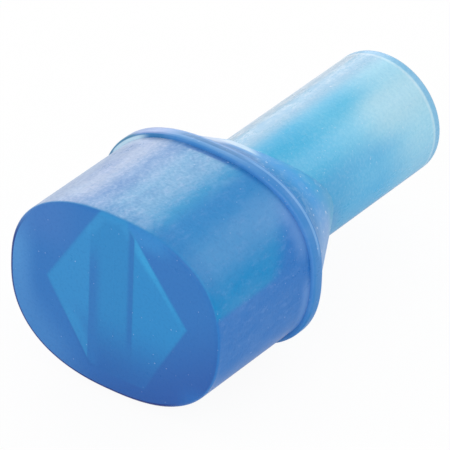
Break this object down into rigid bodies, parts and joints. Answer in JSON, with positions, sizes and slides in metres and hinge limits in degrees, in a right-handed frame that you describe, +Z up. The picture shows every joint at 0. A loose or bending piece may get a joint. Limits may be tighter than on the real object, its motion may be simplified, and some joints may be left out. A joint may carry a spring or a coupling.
{
  "type": "hydration bite valve",
  "caption": "Moulded silicone bite valve: oval mouthpiece with a slit diaphragm, bite-stop flange, sloping shoulder and round sleeve that pushes over a drink tube.",
  "frame": {"origin": "on the table plane under the flange's lowest point, below the middle of the valve's length and width", "axes": "+Y along the valve from the slit face towards the open end of the sleeve, +X the wide way of the oval head, +Z up through its narrow way"},
  "size_m": [0.0284, 0.0498, 0.0229],
  "materials": {
    "head_silicone": "satin moulded translucent blue silicone",
    "diaphragm_silicone": "satin moulded translucent blue silicone, thin enough to show the chamber behind it",
    "flange_silicone": "satin moulded translucent blue silicone",
    "sleeve_silicone": "satin moulded translucent pale blue silicone"
  },
  "bodies": {
    "root": {"bite_stop_flange": "flange_silicone", "shoulder_collar": "flange_silicone", "tube_sleeve": "sleeve_silicone", "tube_stop_ring": "sleeve_silicone", "left_diaphragm_web": "diaphragm_silicone", "right_diaphragm_web": "diaphragm_silicone", "upper_diaphragm_fold": "diaphragm_silicone", "lower_diaphragm_fold": "diaphragm_silicone"},
    "upper_wall": {"upper_bite_wall": "head_silicone"},
    "lower_wall": {"lower_bite_wall": "head_silicone"},
    "left_wall": {"left_side_wall": "head_silicone"},
    "right_wall": {"right_side_wall": "head_silicone"},
    "left_lip": {"left_slit_lip": "diaphragm_silicone"},
    "right_lip": {"right_slit_lip": "diaphragm_silicone"}
  },
  "joints": [
    {"name": "upper_wall_bite", "type": "hinge", "parent": "root", "child": "upper_wall", "pos_m": [0, -0.0088, 0.0224], "axis": [1, 0, 0], "range_deg": [0, 7], "stiffness_Nm_per_rad": 0.02, "deforming": ["upper_diaphragm_fold", "left_diaphragm_web", "right_diaphragm_web"]},
    {"name": "lower_wall_bite", "type": "hinge", "parent": "root", "child": "lower_wall", "pos_m": [0, -0.0088, 0.0005], "axis": [-1, 0, 0], "range_deg": [0, 7], "stiffness_Nm_per_rad": 0.02, "deforming": ["lower_diaphragm_fold"]},
    {"name": "left_wall_bulge", "type": "hinge", "parent": "root", "child": "left_wall", "pos_m": [-0.0137, -0.0088, 0.01145], "axis": [0, 0, -1], "range_deg": [0, 4]},
    {"name": "right_wall_bulge", "type": "hinge", "parent": "root", "child": "right_wall", "pos_m": [0.0137, -0.0088, 0.01145], "axis": [0, 0, 1], "range_deg": [0, 4]},
    {"name": "left_lip_hinge", "type": "hinge", "parent": "root", "child": "left_lip", "pos_m": [-0.0031, -0.0249, 0.01145], "axis": [0, 0, -1], "range_deg": [0, 40]},
    {"name": "right_lip_hinge", "type": "hinge", "parent": "root", "child": "right_lip", "pos_m": [0.0031, -0.0249, 0.01145], "axis": [0, 0, 1], "range_deg": [0, 40]}
  ],
  "couplings": [
    {"joint": "lower_wall_bite", "follows": "upper_wall_bite", "ratio": 1},
    {"joint": "left_wall_bulge", "follows": "upper_wall_bite", "ratio": 0.57},
    {"joint": "right_wall_bulge", "follows": "upper_wall_bite", "ratio": 0.57},
    {"joint": "left_lip_hinge", "follows": "upper_wall_bite", "ratio": 5.7},
    {"joint": "right_lip_hinge", "follows": "upper_wall_bite", "ratio": 5.7}
  ]
}
